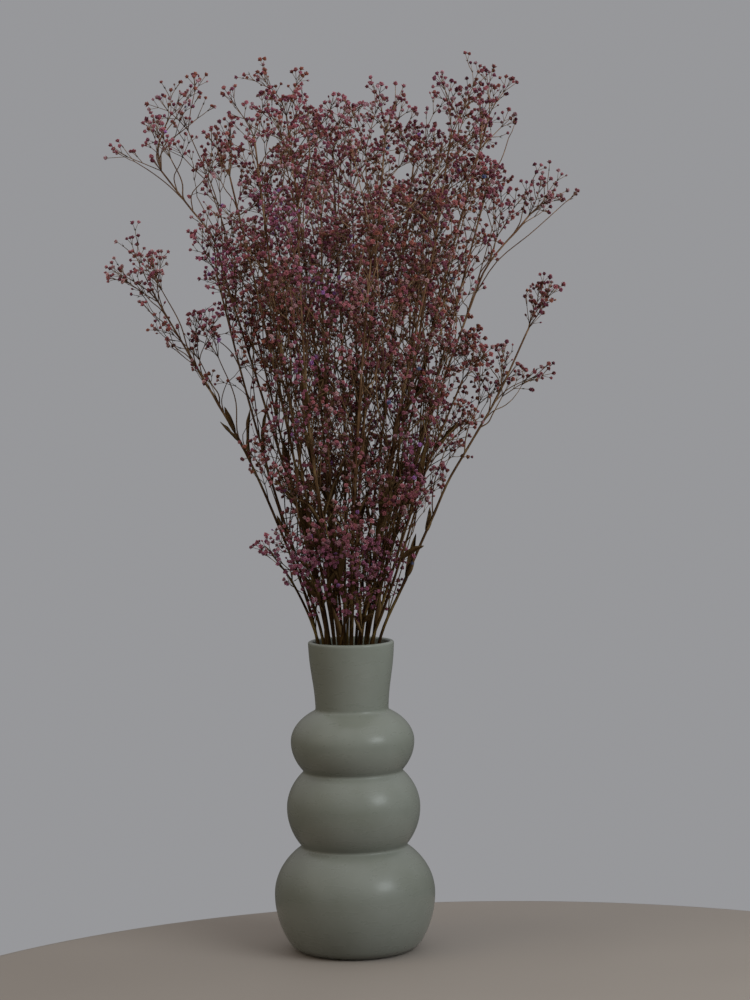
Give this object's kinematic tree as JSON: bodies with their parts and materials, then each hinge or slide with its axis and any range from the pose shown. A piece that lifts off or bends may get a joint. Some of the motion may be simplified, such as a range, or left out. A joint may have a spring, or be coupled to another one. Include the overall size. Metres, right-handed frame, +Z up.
{
  "type": "preserved gypsophila in vase",
  "caption": "Bunch of dried, dyed baby's breath standing in a ceramic vase of three stacked bulbs with a flared neck and an open mouth.",
  "frame": {"origin": "on the surface that the vase stands on, at the middle of its flat base", "axes": "+Z up along the vase's axis; -Y towards the viewer of the picture; +X to the viewer's right"},
  "size_m": [0.375, 0.2323, 0.7104],
  "materials": {
    "vase_glaze": "satin",
    "gypsophila_bloom": "matte",
    "gypsophila_stem": "matte"
  },
  "bodies": {
    "root": {"vase": "vase_glaze", "stem_01": "gypsophila_bloom", "stem_02": "gypsophila_bloom", "stem_03": "gypsophila_bloom", "stem_04": "gypsophila_bloom", "stem_05": "gypsophila_bloom", "stem_06": "gypsophila_bloom", "stem_07": "gypsophila_bloom", "stem_08": "gypsophila_bloom", "stem_09": "gypsophila_bloom", "stem_10": "gypsophila_bloom", "stem_11": "gypsophila_bloom", "stem_12": "gypsophila_bloom", "stem_13": "gypsophila_bloom", "stem_14": "gypsophila_bloom", "stem_15": "gypsophila_bloom", "stem_16": "gypsophila_bloom", "stem_17": "gypsophila_bloom", "stem_18": "gypsophila_bloom", "stem_19": "gypsophila_bloom", "stem_20": "gypsophila_bloom", "stem_21": "gypsophila_bloom", "stem_22": "gypsophila_bloom", "stem_23": "gypsophila_bloom", "stem_24": "gypsophila_bloom", "stem_25": "gypsophila_bloom", "stem_26": "gypsophila_bloom", "stem_27": "gypsophila_bloom", "stem_28": "gypsophila_bloom", "stem_29": "gypsophila_bloom", "stem_30": "gypsophila_stem"}
  },
  "joints": []
}
